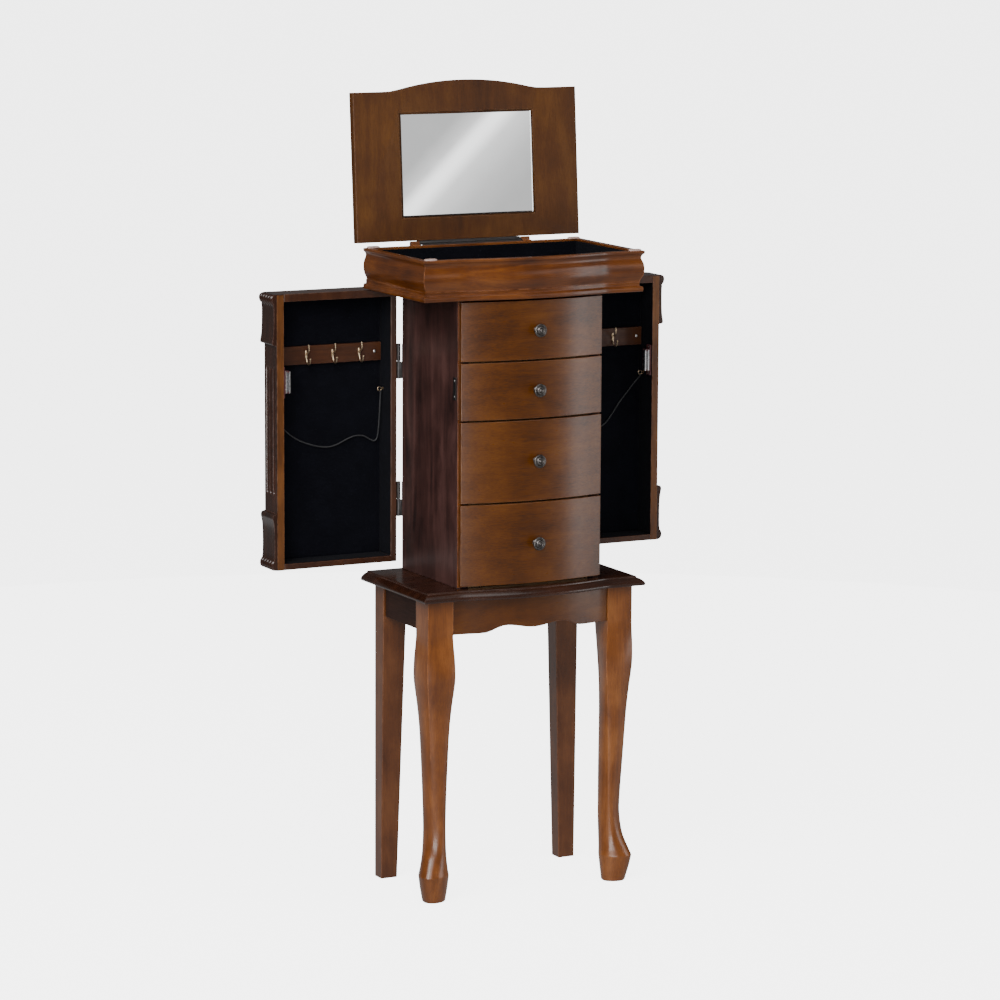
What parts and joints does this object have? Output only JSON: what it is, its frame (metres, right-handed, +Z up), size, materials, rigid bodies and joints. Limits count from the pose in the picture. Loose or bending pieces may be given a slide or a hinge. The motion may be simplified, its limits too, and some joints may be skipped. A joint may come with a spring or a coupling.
{
  "type": "jewelry armoire",
  "caption": "jewelry armoire on a cabriole leg stand, with bow-fronted drawers, hollow swing-out side doors holding necklaces, and a lift-up lid with an inset mirror over a tray",
  "frame": {"origin": "on the floor, under the middle of the part's bounding box with its lid and doors open", "axes": "+Z is up, -Y is the front where the drawers open, +X is the right side seen from the front"},
  "size_m": [0.6112, 0.2553, 1.1036],
  "materials": {
    "stained_wood": "walnut stain under satin lacquer",
    "dark_laminate": "dark streaked laminate, satin",
    "plain_wood": "plain, unlacquered",
    "felt": "black felt over board",
    "mirror": "silvered glass",
    "steel": "dull plated",
    "pewter": "antique pewter",
    "brown_plastic": "satin",
    "elastic": "covered elastic"
  },
  "bodies": {
    "cabinet": {"stand_top": "stained_wood", "leg_front_left": "stained_wood", "leg_front_right": "stained_wood", "leg_back_left": "stained_wood", "leg_back_right": "stained_wood", "apron_front": "stained_wood", "apron_left": "stained_wood", "apron_right": "stained_wood", "apron_back": "stained_wood", "side_panel_left": "dark_laminate", "side_panel_right": "dark_laminate", "cabinet_back": "plain_wood", "cabinet_floor": "plain_wood", "dust_board_1": "plain_wood", "dust_board_2": "plain_wood", "dust_board_3": "plain_wood", "strike_plate_left": "steel", "strike_plate_right": "steel", "box_base": "stained_wood", "moulding_front": "stained_wood", "moulding_left": "stained_wood", "moulding_right": "stained_wood", "moulding_back": "stained_wood", "lid_hinge_cleat": "stained_wood", "hinge_left_lower_cabinet_leaf": "steel", "hinge_left_upper_cabinet_leaf": "steel", "hinge_right_lower_cabinet_leaf": "steel", "hinge_right_upper_cabinet_leaf": "steel"},
    "lid": {"lid_panel": "stained_wood", "lid_mirror": "mirror", "lid_hinge_leaf": "steel"},
    "door_left": {"door_left_casing": "stained_wood", "door_left_pilaster": "stained_wood", "door_left_panel": "stained_wood", "door_left_hook_rail": "stained_wood", "door_left_catch": "brown_plastic", "hinge_left_lower_door_leaf": "steel", "hinge_left_upper_door_leaf": "steel", "door_left_cord": "elastic"},
    "door_right": {"door_right_casing": "stained_wood", "door_right_pilaster": "stained_wood", "door_right_panel": "stained_wood", "door_right_hook_rail": "stained_wood", "door_right_catch": "brown_plastic", "hinge_right_lower_door_leaf": "steel", "hinge_right_upper_door_leaf": "steel", "door_right_cord": "elastic"},
    "drawer_1": {"drawer_1_front": "stained_wood", "drawer_1_box": "plain_wood", "drawer_1_knob": "pewter", "drawer_1_divider": "felt"},
    "drawer_2": {"drawer_2_front": "stained_wood", "drawer_2_box": "plain_wood", "drawer_2_knob": "pewter"},
    "drawer_3": {"drawer_3_front": "stained_wood", "drawer_3_box": "plain_wood", "drawer_3_knob": "pewter"},
    "drawer_4": {"drawer_4_front": "stained_wood", "drawer_4_box": "plain_wood", "drawer_4_knob": "pewter"}
  },
  "joints": [
    {"name": "lid_hinge", "type": "hinge", "parent": "cabinet", "child": "lid", "pos_m": [0, 0.09398, 0.88189], "axis": [1, 0, 0], "range_deg": [0, 94.3]},
    {"name": "door_left_hinge", "type": "hinge", "parent": "cabinet", "child": "door_left", "pos_m": [-0.11176, 0.0889, 0.62992], "axis": [0, 0, 1], "range_deg": [0, 90]},
    {"name": "door_right_hinge", "type": "hinge", "parent": "cabinet", "child": "door_right", "pos_m": [0.11176, 0.0889, 0.62992], "axis": [0, 0, -1], "range_deg": [0, 90]},
    {"name": "drawer_1_slide", "type": "slide", "parent": "cabinet", "child": "drawer_1", "axis": [0, -1, 0], "range_m": [0, 0.13]},
    {"name": "drawer_2_slide", "type": "slide", "parent": "cabinet", "child": "drawer_2", "axis": [0, -1, 0], "range_m": [0, 0.13]},
    {"name": "drawer_3_slide", "type": "slide", "parent": "cabinet", "child": "drawer_3", "axis": [0, -1, 0], "range_m": [0, 0.13]},
    {"name": "drawer_4_slide", "type": "slide", "parent": "cabinet", "child": "drawer_4", "axis": [0, -1, 0], "range_m": [0, 0.13]}
  ]
}
